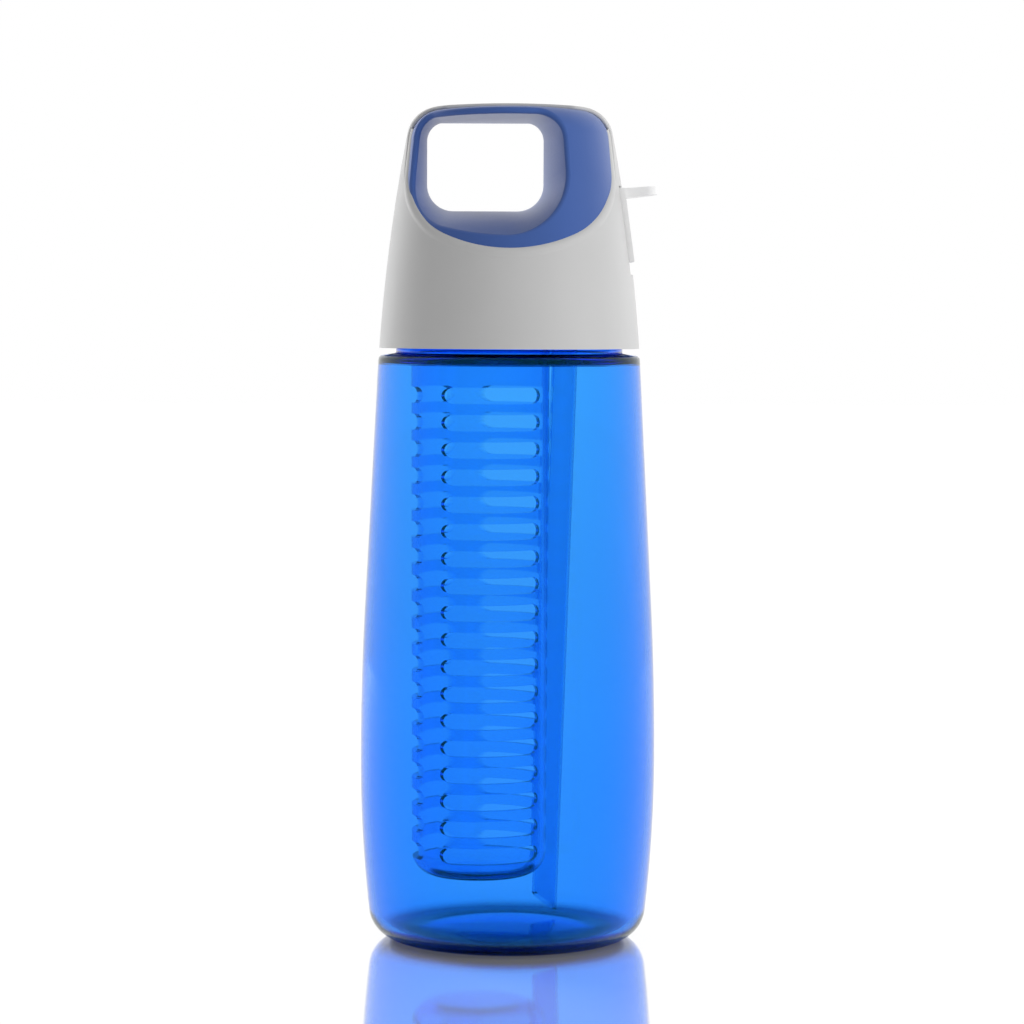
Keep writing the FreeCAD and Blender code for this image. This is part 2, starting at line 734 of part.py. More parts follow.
def mouthpiece():
    """Soft drinking nozzle pushed over the elbow's outlet."""
    body = new_body("mouthpiece", "straw_x", "0", "nozzle_z")
    section = new_sketch(body, "Section")
    tip = "mouthpiece_tip - straw_x"
    draw(section, [
        ("mouthpiece_root", "nozzle_radius + seat_gap"),
        ("nozzle_reach + seat_gap", "nozzle_radius + seat_gap"),
        ("nozzle_reach + seat_gap", "mouthpiece_bore"),
        (tip, "mouthpiece_bore"),
        (tip, "mouthpiece_radius - edge_fillet"),
        (f"{tip} - edge_fillet", "mouthpiece_radius"),
        ("mouthpiece_root", "mouthpiece_radius"),
    ])
    spin(body, section, axis="H_Axis")
    return body


def spout_cover():
    """Flip cover: a plate that follows the lid's side, its hinge barrel and the thumb tab."""
    body = new_body("spout_cover", "hinge_x", "0", "hinge_z")
    plate = new_sketch(body, "Plate")
    draw(plate, [
        ("0", "-barrel_radius"),
        ("cover_low_x - hinge_x", "-cover_drop"),
        ("cover_top_x - hinge_x", "cover_height"),
        ("-cover_inset", "cover_height"),
        ("-cover_inset", "0"),
    ])
    extrude(body, plate, "2 * cover_half_width", midplane=True)
    barrel = draw_circle(new_sketch(body, "Barrel"), "0", "0", "barrel_radius")
    extrude(body, barrel, "2 * cover_half_width", midplane=True)
    tab = new_sketch(body, "Tab")
    root_x = "cover_top_x - hinge_x - edge_fillet"
    tip_x = "tab_reach - hinge_x"
    draw(tab, [
        (root_x, "cover_height - tab_root"),
        (tip_x, "cover_height + tab_rise - tab_tip"),
        (tip_x, "cover_height + tab_rise"),
        (root_x, "cover_height"),
    ])
    extrude(body, tab, "2 * tab_half_width", midplane=True)
    corners = []
    for index, edge in enumerate(body.Tip.Shape.Edges, start=1):
        middle = edge.CenterOfMass
        if abs(middle.x - size(tip_x)) < NEAR and abs(middle.y) > size("tab_half_width") / 2:
            corners.append(f"Edge{index}")
    fillet(body, "TabCorners", "tab_corner", corners)
    pin = draw_circle(new_sketch(body, "Pin"), "0", "0", "pin_radius + pin_clearance")
    extrude(body, pin, None, "Pocket", midplane=True)
    seat = new_sketch(body, "PlugSeat", "YZ_Plane", "-cover_inset")
    draw_circle(seat, "0", "plug_level", "plug_radius + pin_clearance")
    extrude(body, seat, "plug_root", "Pocket", flip=True)
    return body


def hinge_pin():
    body = new_body("hinge_pin", "hinge_x", "0", "hinge_z")
    section = draw_circle(new_sketch(body, "Section"), "0", "0", "pin_radius")
    extrude(body, section, "2 * pin_half_length", midplane=True)
    return body


def spout_plug():
    """Soft stud on the inside of the cover that closes the mouthpiece."""
    body = new_body("spout_plug", "cover_back_x", "0", "nozzle_z")
    section = new_sketch(body, "Section")
    draw(section, [
        ("-plug_reach", "0"),
        ("plug_root - pin_clearance", "0"),
        ("plug_root - pin_clearance", "plug_radius"),
        ("0", "plug_radius"),
        ("0", "plug_flange"),
        ("-plug_flange_thickness", "plug_flange"),
        ("-plug_flange_thickness", "plug_radius"),
        ("-plug_reach", "plug_radius"),
    ])
    spin(body, section, axis="H_Axis")
    return body


def check(bodies):
    for thing in doc.Objects:
        if "Invalid" in thing.State or "Error" in thing.State:
            raise RuntimeError(f"{thing.Label} failed: {thing.State}")
    for body in bodies:
        if body.Shape.isNull() or not body.Shape.isValid() or len(body.Shape.Solids) != 1:
            raise RuntimeError(f"{body.Label} isn't one sound solid")


def main():
    bodies = [
        bottle_body(), neck_gasket(), threaded_cap(), vent_valve(), basket_o_ring(), infuser_basket(),
        straw(), straw_elbow(), mouthpiece(), loop_core(), lid_shell(), spout_cover(), hinge_pin(),
        spout_plug(),
    ]
    doc.recompute()
    check(bodies)
    os.makedirs("parts", exist_ok=True)
    for body in bodies:
        body.Shape.exportStep(f"parts/{body.Label}.step")


main()
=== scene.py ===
import math

import bmesh
import bpy
from mathutils import Matrix, Vector
from mathutils.geometry import intersect_sphere_sphere_2d


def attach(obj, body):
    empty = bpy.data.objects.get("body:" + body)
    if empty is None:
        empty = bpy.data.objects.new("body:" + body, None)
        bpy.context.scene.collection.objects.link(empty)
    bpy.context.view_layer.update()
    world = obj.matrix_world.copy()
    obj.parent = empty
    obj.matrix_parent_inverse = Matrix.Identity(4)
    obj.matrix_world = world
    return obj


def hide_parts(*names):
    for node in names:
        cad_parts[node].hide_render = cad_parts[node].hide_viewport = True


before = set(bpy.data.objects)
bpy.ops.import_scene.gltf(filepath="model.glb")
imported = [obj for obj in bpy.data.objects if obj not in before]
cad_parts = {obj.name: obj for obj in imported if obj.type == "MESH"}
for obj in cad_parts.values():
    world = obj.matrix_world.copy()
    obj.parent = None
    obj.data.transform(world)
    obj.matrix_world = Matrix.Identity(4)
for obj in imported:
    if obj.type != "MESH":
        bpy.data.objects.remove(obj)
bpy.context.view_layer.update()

# Fruit infuser water bottle. Sizes are in millimetres, in the frame of the construction:
# +Z up, the front is -Y, the spout is on +X.
MM = 0.001
SPIN_STEPS = 224
SHARP_ANGLE = 35.0

# Bottle
PUNT_HEIGHT = 2.4
BASE_THICKNESS = 2.6
FOOT_INNER_RADIUS = 26.0
HEEL_FILLET = 9.0
LOWER_SWEEP = 383.0
BELLY_RADIUS = 42.4
BELLY_HEIGHT = 52.0
TAPER_START = 95.0
SHOULDER_RADIUS = 37.5
SHOULDER_HEIGHT = 168.0
SHOULDER_FILLET = 1.6
INNER_SHOULDER_FILLET = 0.8
BOTTLE_WALL = 2.2
NECK_FOOT = 168.7
BEAD_RADIUS = 32.5
BEAD_TOP = 170.4
NECK_BORE = 28.7
NECK_RADIUS = 30.5
NECK_TOP = 186.0
RIM_FILLET = 0.5

# Screw thread on the neck
THREAD_TURNS = 1.6
THREAD_PITCH = 4.6
THREAD_START = 173.6
THREAD_CREST = 31.5
THREAD_FOOT_WIDTH = 2.2
THREAD_CREST_WIDTH = 0.9
THREAD_FADE_STEPS = SPIN_STEPS // 12
THREAD_LEAST = 0.02

# Infuser basket
BASKET_PLACE = (-8.2, -1.5)
BASKET_TURN = 14.0
BASKET_FOOT = 18.5
BASKET_TOP = 187.2
BASKET_FOOT_RADIUS = 19.3
BASKET_TOP_RADIUS = 19.9
BASKET_WALL = 1.7
BASKET_FILLET = 7.0
SLOT_COLUMNS = 3
SLOT_COUNT = 18
SLOT_FIRST = 156.8
SLOT_LAST = 26.2
SLOT_HALF_LENGTH = 11.3
SLOT_HALF_HEIGHT = 2.3
SLOT_CUT_START = 4.825
SLOT_CUT_END = 25.87

# Lid and its windows, each with a rolled lip
LID_BOTTOM = 170.1
LID_TOP = 239.6
LID_RADIUS = 37.3
LID_SWEEP = 520.0
LID_SWEEP_DROP = 36.0
LID_CROWN = 260.0
LID_CORNER = 9.0
WINDOW_HALF_WIDTH = 28.9
WINDOW_TOP_HALF_WIDTH = 28.1
WINDOW_HEIGHT = 40.1
WINDOW_TOP_CORNER = 8.5
WINDOW_LOW_CORNER = 18.0
WINDOW_SAG = 44.0
WINDOW_INSET = 1.5
LIP_RISE = 0.28
LIP_RAMP = 1.5
LIP_CREST = 1.3
LIP_ROLL = 2.2
LIP_ROLL_END = 44.0
LIP_RAMP_STEPS = 8
LIP_DEPTH = 0.9
LIP_TUCK = 2.0
LIP_FADE_START = 0.15
LIP_FADE_END = 0.19

# Skins of the mouldings
RIPPLE_DEPTH = 0.1
GRAIN_DEPTH = 0.05
SCUFF_SIZE = 9.0
CLOUD_SIZE = 24.0
BLOOM_SIZE = 0.8
DRAWN_LINE_SIZE = 0.15
HAZE_SIZE = 60.0

# Studio, with levels of light where 1 is white
FLOOR_HALF_SIZE = 6000.0
FLOOR_LIFT = 0.06
SOFT_LIGHT = 0.38

# Camera
SENSOR_WIDTH = 36.0
LENS_LENGTH = 119.5
CAMERA_PLACE = (1.0, -977.0, 179.0)
CAMERA_AIM = (1.0, 0.0, 123.0)
CAMERA_ROLL = 0.24


def linear(code):
    """Turns an sRGB hex colour into linear RGBA."""
    parts = [int(code[i:i + 2], 16) / 255 for i in (1, 3, 5)]
    return [c / 12.92 if c <= 0.04045 else ((c + 0.055) / 1.055) ** 2.4 for c in parts] + [1.0]


def add(tree, kind, inputs=None, **settings):
    """Adds a node with its settings, and gives each input a value or a link."""
    node = tree.nodes.new(kind)
    for name, value in settings.items():
        setattr(node, name, value)
    for name, value in (inputs or {}).items():
        if isinstance(value, bpy.types.NodeSocket):
            tree.links.new(value, node.inputs[name])
        else:
            node.inputs[name].default_value = value
    return node


def new_material(name):
    material = bpy.data.materials.new(name)
    material.use_nodes = True
    material.node_tree.nodes.clear()
    return material, material.node_tree


def per_metre(size_mm):
    """The scale of a pattern whose features are size_mm apart."""
    return 1.0 / (size_mm * MM)


def clear_plastic(name, tint, ripple_mm, ripple, density, deep, shades=None):
    """A clear tinted moulding: its skin carries a faint ripple and its thick parts go deep in colour.
    Shades at heights lead up to the tint at the shoulder, so the wall is paler upwards; a dark one at the foot
    is painted shade.
    Facing reflections take the deep colour, so no white haze greys the blue, and grazing ones stay white."""
    material, tree = new_material(name)
    place = add(tree, "ShaderNodeTexCoord").outputs["Object"]
    waves = add(tree, "ShaderNodeTexNoise", {"Vector": place, "Scale": per_metre(ripple_mm), "Detail": 1.0})
    bump = add(tree, "ShaderNodeBump", {
        "Height": waves.outputs["Fac"], "Strength": ripple, "Distance": RIPPLE_DEPTH * MM})
    scuffs = add(tree, "ShaderNodeTexNoise", {"Vector": place, "Scale": per_metre(SCUFF_SIZE), "Detail": 4.0})
    rough = add(tree, "ShaderNodeMapRange", {
        "Value": scuffs.outputs["Fac"], "To Min": 0.015, "To Max": 0.05})
    skin = add(tree, "ShaderNodeBsdfPrincipled", {
        "Base Color": linear(tint), "Roughness": rough.outputs["Result"], "IOR": 1.45,
        "Specular Tint": linear(deep), "Transmission Weight": 1.0, "Normal": bump.outputs["Normal"]})
    if shades:
        height = add(tree, "ShaderNodeSeparateXYZ", {"Vector": place}).outputs["Z"]
        part = add(tree, "ShaderNodeMapRange", {"Value": height, "From Max": SHOULDER_HEIGHT * MM})
        ramp = add(tree, "ShaderNodeValToRGB", {"Fac": part.outputs["Result"]})
        stops = ramp.color_ramp.elements
        stops.remove(stops[0])
        stops[0].color = linear(tint)
        for level, shade in shades:
            stops.new(level / SHOULDER_HEIGHT).color = linear(shade)
        tree.links.new(ramp.outputs["Color"], skin.inputs["Base Color"])
    inside = add(tree, "ShaderNodeVolumeAbsorption", {"Color": linear(deep), "Density": density})
    add(tree, "ShaderNodeOutputMaterial", {
        "Surface": skin.outputs["BSDF"], "Volume": inside.outputs["Volume"]})
    return material


def moulded_plastic(name, pale, dark, roughness, grain_mm, grain, gleam="#ffffff", veil=0.0):
    """A solid moulding with a fine spark-eroded grain, which breaks up its highlights.
    The real grain is near 0.05 mm, too fine for the picture, so grain_mm draws it coarser.
    A veil is the pale haze that the grain shows at low angles."""
    material, tree = new_material(name)
    place = add(tree, "ShaderNodeTexCoord").outputs["Object"]
    clouds = add(tree, "ShaderNodeTexNoise", {"Vector": place, "Scale": per_metre(CLOUD_SIZE), "Detail": 3.0})
    colour = add(tree, "ShaderNodeMix", {
        "Factor": clouds.outputs["Fac"], "A": linear(dark), "B": linear(pale)}, data_type="RGBA")
    pits = add(tree, "ShaderNodeTexNoise", {"Vector": place, "Scale": per_metre(grain_mm), "Detail": 2.0})
    rough = add(tree, "ShaderNodeMapRange", {
        "Value": pits.outputs["Fac"], "To Min": roughness - 0.06, "To Max": roughness + 0.06})
    bump = add(tree, "ShaderNodeBump", {
        "Height": pits.outputs["Fac"], "Strength": grain, "Distance": GRAIN_DEPTH * MM})
    skin = add(tree, "ShaderNodeBsdfPrincipled", {
        "Base Color": colour.outputs["Result"], "Roughness": rough.outputs["Result"], "IOR": 1.49,
        "Specular Tint": linear(gleam), "Sheen Weight": veil, "Sheen Roughness": 0.5,
        "Normal": bump.outputs["Normal"]})
    add(tree, "ShaderNodeOutputMaterial", {"Surface": skin.outputs["BSDF"]})
    return material


def silicone(name, tone):
    """Soft moulded rubber: milky, with a dull skin that light sinks into.
    Its real bloom is finer than 0.1 mm, too fine for the picture, so it is drawn coarser."""
    material, tree = new_material(name)
    place = add(tree, "ShaderNodeTexCoord").outputs["Object"]
    bloom = add(tree, "ShaderNodeTexNoise", {"Vector": place, "Scale": per_metre(BLOOM_SIZE), "Detail": 3.0})
    rough = add(tree, "ShaderNodeMapRange", {"Value": bloom.outputs["Fac"], "To Min": 0.5, "To Max": 0.66})
    bump = add(tree, "ShaderNodeBump", {
        "Height": bloom.outputs["Fac"], "Strength": 0.15, "Distance": GRAIN_DEPTH * MM})
    skin = add(tree, "ShaderNodeBsdfPrincipled", {
        "Base Color": linear(tone), "Roughness": rough.outputs["Result"], "IOR": 1.41,
        "Subsurface Weight": 0.3, "Subsurface Radius": (1.0, 1.0, 1.0), "Subsurface Scale": 1.5 * MM,
        "Normal": bump.outputs["Normal"]})
    add(tree, "ShaderNodeOutputMaterial", {"Surface": skin.outputs["BSDF"]})
    return material


def drawn_steel(name):
    """Stainless wire: bright, with fine lines left along it by the die.
    The real lines are near 0.02 mm apart, too fine for the picture, so they are drawn coarser."""
    material, tree = new_material(name)
    place = add(tree, "ShaderNodeTexCoord").outputs["Object"]
    along = add(tree, "ShaderNodeMapping", {"Vector": place, "Scale": (1.0, 0.05, 1.0)})
    lines = add(tree, "ShaderNodeTexNoise", {
        "Vector": along.outputs["Vector"], "Scale": per_metre(DRAWN_LINE_SIZE)})
    rough = add(tree, "ShaderNodeMapRange", {"Value": lines.outputs["Fac"], "To Min": 0.18, "To Max": 0.32})
    skin = add(tree, "ShaderNodeBsdfPrincipled", {
        "Base Color": linear("#c8c7c4"), "Metallic": 1.0, "Roughness": rough.outputs["Result"]})
    add(tree, "ShaderNodeOutputMaterial", {"Surface": skin.outputs["BSDF"]})
    return material


def arc_points(centre, radius, start, end, steps):
    """Points (radius, height) along a circular arc, from one angle to another in degrees."""
    spots = []
    for step in range(steps + 1):
        angle = math.radians(start + (end - start) * step / steps)
        spots.append((centre[0] + radius * math.cos(angle), centre[1] + radius * math.sin(angle)))
    return spots


def rounded(before, corner, after, radius, steps=6):
    """Points of the arc that rounds a corner between two straight edges."""
    corner = Vector(corner)
    into = (Vector(before) - corner).normalized()
    out = (Vector(after) - corner).normalized()
    half = into.angle(out) / 2
    middle = corner + (into + out).normalized() * (radius / math.sin(half))
    first = corner + into * (radius / math.tan(half)) - middle
    last = corner + out * (radius / math.tan(half)) - middle
    spots = []
    for step in range(steps + 1):
        spot = first.slerp(last, step / steps)
        spots.append(tuple(middle + spot.normalized() * radius))
    return spots


def spun(name, outline):
    """Turns an outline of (radius, height) in millimetres about Z. A point on the axis becomes a pole."""
    mesh = bmesh.new()
    rings = []
    for radius, height in outline:
        if radius < 1e-6:
            rings.append([mesh.verts.new((0.0, 0.0, height * MM))])
            continue
        ring = []
        for step in range(SPIN_STEPS):
            angle = 2 * math.pi * step / SPIN_STEPS
            spot = Vector((radius * math.cos(angle), radius * math.sin(angle), height))
            ring.append(mesh.verts.new(spot * MM))
        rings.append(ring)
    for low, high in zip(rings, rings[1:]):
        for step in range(SPIN_STEPS):
            after = (step + 1) % SPIN_STEPS
            corners = [low[step % len(low)], low[after % len(low)]]
            corners += [high[after % len(high)], high[step % len(high)]]
            mesh.faces.new(dict.fromkeys(corners))
    bmesh.ops.recalc_face_normals(mesh, faces=mesh.faces)
    return finished(name, mesh)


def finished(name, mesh, sharp=SHARP_ANGLE):
    """Makes an object of a mesh, smooth except at its sharp edges."""
    data = bpy.data.meshes.new(name)
    mesh.to_mesh(data)
    mesh.free()
    data.shade_smooth()
    data.set_sharp_from_angle(angle=math.radians(sharp))
    piece = bpy.data.objects.new(name, data)
    bpy.context.scene.collection.objects.link(piece)
    return piece


def dress(piece, material, body=None, stands_for=None):
    """Gives a piece its material, the body it moves with and the node it stands for."""
    piece.data.materials.clear()
    piece.data.materials.append(material)
    if body:
        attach(piece, body)
    if stands_for:
        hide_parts(stands_for)
    return piece


def bottle_side(wall):
    """The bottle's side from the flat of its foot to the start of its shoulder, set in by wall."""
    floor = BASE_THICKNESS if wall else 0.0
    sweep = LOWER_SWEEP - wall
    sweep_x = BELLY_RADIUS - LOWER_SWEEP
    heel = HEEL_FILLET - wall
    heel_z = floor + heel
    heel_x = sweep_x + math.sqrt((sweep - heel) ** 2 - (BELLY_HEIGHT - heel_z) ** 2)
    turn = math.degrees(math.atan2(heel_z - BELLY_HEIGHT, heel_x - sweep_x))
    spots = arc_points((heel_x, heel_z), heel, -90.0, turn, 16)
    spots += arc_points((sweep_x, BELLY_HEIGHT), sweep, turn, 0.0, 20)[1:]
    rise = TAPER_START - BELLY_HEIGHT
    drop = BELLY_RADIUS - SHOULDER_RADIUS
    upper = (rise ** 2 / 2 + rise * (SHOULDER_HEIGHT - TAPER_START)) / drop
    lean = math.degrees(math.asin(rise / upper))
    return spots + arc_points((BELLY_RADIUS - upper, BELLY_HEIGHT), upper - wall, 0.0, lean, 16)[1:]


def bottle_outline():
    """Half section of the bottle's wall: up the outside, over the neck's rim and down the inside."""
    dome = (FOOT_INNER_RADIUS ** 2 + PUNT_HEIGHT ** 2) / (2 * PUNT_HEIGHT)
    half = math.degrees(math.asin(FOOT_INNER_RADIUS / dome))
    punt = arc_points((0.0, PUNT_HEIGHT - dome), dome, 90.0, 90.0 - half, 12)
    outside = bottle_side(0.0)
    inside = bottle_side(BOTTLE_WALL)
    shoulder = (SHOULDER_RADIUS, SHOULDER_HEIGHT)
    bead_foot = (BEAD_RADIUS, NECK_FOOT)
    bead = (BEAD_RADIUS, BEAD_TOP)
    neck_foot = (NECK_RADIUS, BEAD_TOP)
    rim = (NECK_RADIUS, NECK_TOP)
    mouth = (NECK_BORE, NECK_TOP)
    throat = (NECK_BORE, NECK_FOOT - BOTTLE_WALL)
    inner_shoulder = (SHOULDER_RADIUS - BOTTLE_WALL, SHOULDER_HEIGHT - BOTTLE_WALL)
    upper = rounded(outside[-1], shoulder, bead_foot, SHOULDER_FILLET)
    upper += rounded(shoulder, bead_foot, bead, RIM_FILLET / 2, 3)
    upper += rounded(bead_foot, bead, neck_foot, RIM_FILLET)
    upper += rounded(bead, neck_foot, rim, RIM_FILLET)
    upper += rounded(neck_foot, rim, mouth, RIM_FILLET)
    lower = rounded(rim, mouth, throat, RIM_FILLET)
    lower += rounded(mouth, throat, inner_shoulder, RIM_FILLET)
    lower += rounded(throat, inner_shoulder, inside[-1], INNER_SHOULDER_FILLET)
    floor = [(radius, height + BASE_THICKNESS) for radius, height in punt]
    return punt + outside + upper + lower + inside[::-1] + floor[::-1]


def neck_thread(material):
    """Raised thread on the neck, a ridge that rises round it and fades out at both ends."""
    mesh = bmesh.new()
    steps = int(SPIN_STEPS * THREAD_TURNS)
    rings = []
    for step in range(steps + 1):
        angle = 2 * math.pi * step / SPIN_STEPS
        height = THREAD_START + THREAD_PITCH * step / SPIN_STEPS
        to_end = min(step, steps - step)
        fade = min(1.0, max(THREAD_LEAST, to_end / THREAD_FADE_STEPS))
        crest = NECK_RADIUS + (THREAD_CREST - NECK_RADIUS) * fade
        root = NECK_RADIUS - RIM_FILLET / 2
        section = [
            (root, -THREAD_FOOT_WIDTH / 2), (crest, -THREAD_CREST_WIDTH / 2),
            (crest, THREAD_CREST_WIDTH / 2), (root, THREAD_FOOT_WIDTH / 2)]
        ring = []
        for radius, rise in section:
            spot = Vector((radius * math.cos(angle), radius * math.sin(angle), height + rise))
            ring.append(mesh.verts.new(spot * MM))
        rings.append(ring)
    for low, high in zip(rings, rings[1:]):
        for corner in range(4):
            after = (corner + 1) % 4
            mesh.faces.new((low[corner], low[after], high[after], high[corner]))
    mesh.faces.new(rings[0][::-1])
    mesh.faces.new(rings[-1])
    bmesh.ops.recalc_face_normals(mesh, faces=mesh.faces)
    return dress(finished("neck_thread", mesh, sharp=60.0), material, "bottle")


def basket_outline():
    """Closed half section of the basket's wall, from the middle of its foot outside to inside."""
    spots = []
    for wall, side in ((0.0, 1), (BASKET_WALL, -1)):
        foot = (BASKET_FOOT_RADIUS - wall, BASKET_FOOT + wall)
        top = (BASKET_TOP_RADIUS - wall, BASKET_TOP)
        run = [(0.0, BASKET_FOOT + wall)]
        run += rounded(run[0], foot, top, BASKET_FILLET - wall, 14)
        run.append(top)
        spots += run[::side]
    return spots


def slot_cutters():
    """Level round-ended bars, one for each slot of the basket."""
    mesh = bmesh.new()
    pitch = (SLOT_FIRST - SLOT_LAST) / (SLOT_COUNT - 1)
    for column in range(SLOT_COLUMNS):
        turn = Matrix.Rotation(2 * math.pi * column / SLOT_COLUMNS, 3, "Z")
        for index in range(SLOT_COUNT):
            level = SLOT_FIRST - pitch * index
            ends = arc_points((SLOT_HALF_LENGTH, level), SLOT_HALF_HEIGHT, -90.0, 90.0, 12)
            ends += arc_points((-SLOT_HALF_LENGTH, level), SLOT_HALF_HEIGHT, 90.0, 270.0, 12)
            near = [mesh.verts.new(turn @ Vector((x, -SLOT_CUT_START, z)) * MM) for x, z in ends]
            far = [mesh.verts.new(turn @ Vector((x, -SLOT_CUT_END, z)) * MM) for x, z in ends]
            mesh.faces.new(near)
            mesh.faces.new(far[::-1])
            for step in range(len(ends)):
                after = (step + 1) % len(ends)
                mesh.faces.new((near[step], far[step], far[after], near[after]))
    bmesh.ops.recalc_face_normals(mesh, faces=mesh.faces)
    return finished("slot_cutters", mesh)


def infuser_basket(material):
    """Hanging cup with its columns of slots cut through the wall."""
    basket = spun("basket_cup", basket_outline())
    cutters = slot_cutters()
    cut = basket.modifiers.new("slots", "BOOLEAN")
    cut.object = cutters
    cut.solver = "EXACT"
    bpy.context.view_layer.update()
    graph = bpy.context.evaluated_depsgraph_get()
    data = bpy.data.meshes.new_from_object(basket.evaluated_get(graph))
    basket.modifiers.clear()
    basket.data = data
    bpy.data.objects.remove(cutters)
    data.transform(Matrix.Rotation(math.radians(BASKET_TURN), 4, "Z"))
    data.transform(Matrix.Translation((BASKET_PLACE[0] * MM, BASKET_PLACE[1] * MM, 0.0)))
    data.shade_smooth()
    data.set_sharp_from_angle(angle=math.radians(SHARP_ANGLE))
    return dress(basket, material, "basket", "infuser_basket")


def window_half():
    """Right half of the outline (x, height) of a window in the lid: sagging foot, two corners, crown."""
    sag = Vector((0.0, LID_TOP - WINDOW_INSET - WINDOW_HEIGHT + WINDOW_SAG))
    crown = Vector((0.0, LID_TOP - LID_CROWN))
    low_x = WINDOW_HALF_WIDTH - WINDOW_LOW_CORNER
    top_x = WINDOW_TOP_HALF_WIDTH - WINDOW_TOP_CORNER
    low = Vector((low_x, sag.y - math.sqrt((WINDOW_SAG - WINDOW_LOW_CORNER) ** 2 - low_x ** 2)))
    crown_radius = LID_CROWN - WINDOW_INSET
    top = Vector((top_x, crown.y + math.sqrt((crown_radius - WINDOW_TOP_CORNER) ** 2 - top_x ** 2)))
    between = top - low
    foot_turn = math.degrees(math.atan2(low.y - sag.y, low.x))
    side_turn = math.degrees(math.atan2(between.y, between.x))
    side_turn -= math.degrees(math.acos((WINDOW_LOW_CORNER - WINDOW_TOP_CORNER) / between.length))
    crown_turn = math.degrees(math.atan2(top.y - crown.y, top.x))
    spots = arc_points(sag, WINDOW_SAG, -90.0, foot_turn, 16)
    spots += arc_points(low, WINDOW_LOW_CORNER, foot_turn, side_turn, 24)[1:]
    spots += arc_points(top, WINDOW_TOP_CORNER, side_turn, crown_turn, 24)
    return spots + arc_points(crown, crown_radius, crown_turn, 90.0, 16)[1:]


def lid_spot(x, height):
    """Point on the front of the lid's outside: a long sweep, and a round corner above it."""
    sweep_x = LID_RADIUS - math.sqrt(LID_SWEEP ** 2 - LID_SWEEP_DROP ** 2)
    sweep = Vector((sweep_x, LID_BOTTOM - LID_SWEEP_DROP))
    crown = Vector((0.0, LID_TOP - LID_CROWN))
    meetings = intersect_sphere_sphere_2d(sweep, LID_SWEEP - LID_CORNER, crown, LID_CROWN - LID_CORNER)
    corner = max(meetings, key=lambda spot: spot.y)
    sweep_top = sweep.y + (corner - sweep).normalized().y * LID_SWEEP
    if height > sweep_top:
        radius = corner.x + math.sqrt(LID_CORNER ** 2 - (height - corner.y) ** 2)
    else:
        radius = sweep.x + math.sqrt(LID_SWEEP ** 2 - (height - sweep.y) ** 2)
    return Vector((x, -math.sqrt(radius ** 2 - x ** 2), height))


def lip_section():
    """Section of a window's lip, inward from the window's edge and up from the lid: a gentle ramp from
    the lid's face to the crest, a roll down to the pane, and a hidden back."""
    ramp = []
    for step in range(LIP_RAMP_STEPS):
        part = step / LIP_RAMP_STEPS
        rise = LIP_RISE * (1 - math.cos(math.pi * part)) / 2
        ramp.append((-LIP_CREST - LIP_RAMP * (1 - part), rise))
    roll = arc_points((-LIP_CREST, LIP_RISE - LIP_ROLL), LIP_ROLL, 90.0, LIP_ROLL_END, 12)
    return ramp + roll + [(roll[-1][0], -LIP_DEPTH), (ramp[0][0], -LIP_DEPTH)]


def window_lip(name, material, side):
    """Soft rolled lip down both sides and along the foot of a window, which closes the joint between
    shell and pane. Below the top corners, where the lid's face turns away, it tucks in under the shell."""
    half = window_half()
    outline = [(-x, height) for x, height in half[:0:-1]] + half
    spots = [lid_spot(x, height) for x, height in outline]
    section = lip_section()
    mesh = bmesh.new()
    rings = []
    for before, spot, after in zip(spots, spots[1:], spots[2:]):
        across = lid_spot(spot.x + LIP_RISE, spot.z) - lid_spot(spot.x - LIP_RISE, spot.z)
        upward = spot - lid_spot(spot.x, spot.z - LIP_RISE)
        out = across.cross(upward).normalized()
        if out.z > LIP_FADE_END:
            continue
        inward = out.cross(after - before).normalized()
        sink = LIP_DEPTH * max(0.0, out.z - LIP_FADE_START) / (LIP_FADE_END - LIP_FADE_START)
        ring = []
        for run, rise in section:
            place = spot + inward * (run - LIP_TUCK * sink) + out * (rise - sink)
            ring.append(mesh.verts.new(place * MM))
        rings.append(ring)
    for first, second in zip(rings, rings[1:]):
        for step in range(len(first)):
            following = (step + 1) % len(first)
            mesh.faces.new((first[step], first[following], second[following], second[step]))
    mesh.faces.new(rings[0])
    mesh.faces.new(rings[-1])
    for vert in mesh.verts:
        vert.co.y *= side
    bmesh.ops.recalc_face_normals(mesh, faces=mesh.faces)
    dress(finished(name, mesh), material, "lid")


def dress_nodes(finishes):
    """Gives each node of the construction that stays in view its own finish."""
    for name, material in finishes.items():
        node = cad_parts[name]
        for slot in node.material_slots:
            slot.material = material


